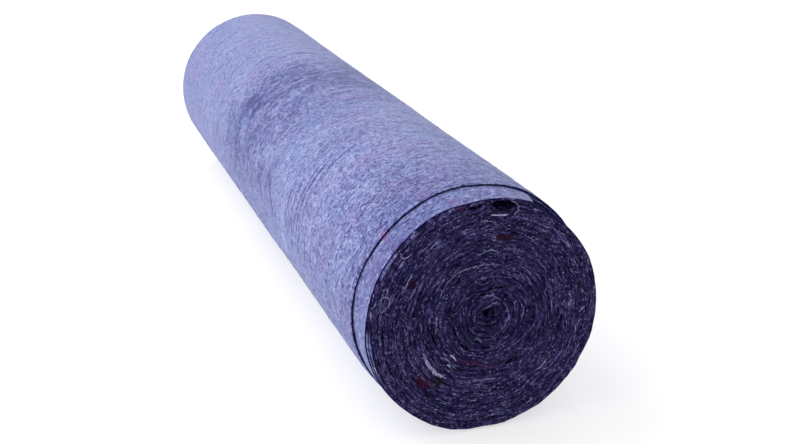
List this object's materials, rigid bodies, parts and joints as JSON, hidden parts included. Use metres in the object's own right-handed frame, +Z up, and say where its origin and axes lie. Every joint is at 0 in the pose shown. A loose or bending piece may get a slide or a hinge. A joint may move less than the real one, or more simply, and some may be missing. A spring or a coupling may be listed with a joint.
{
  "type": "roll of frost protection fleece",
  "caption": "Coreless roll of felted fleece web lying on its side, with a thinner fleece sheet wrapped round it that slides along and whose free end lifts.",
  "frame": {"origin": "on the flat strip that the roll rests on, below the roll's axis and halfway along its length", "axes": "+Y along the roll from its front end to its back end, +Z up, +X to the right as seen from the front end"},
  "size_m": [0.2568, 1.041, 0.2552],
  "materials": {
    "web_felt": "felted recycled fibre, blue-violet, with dark cut edges, pale threads and coloured flecks",
    "wrap_felt": "thin felted fibre, pale lavender blue, with fine streaks round the roll and pale flecks"
  },
  "bodies": {
    "winding": {"fleece_winding": "web_felt"},
    "wrap": {"outer_wrap": "wrap_felt"},
    "free_end": {"wrap_free_end": "wrap_felt"}
  },
  "joints": [
    {"name": "wrap_slide", "type": "slide", "parent": "winding", "child": "wrap", "axis": [0, 1, 0], "range_m": [-0.041, 0.06]},
    {"name": "free_end_lift", "type": "hinge", "parent": "wrap", "child": "free_end", "pos_m": [0.09437, 0, 0.21206], "axis": [0, -1, 0], "range_deg": [0, 70]}
  ]
}
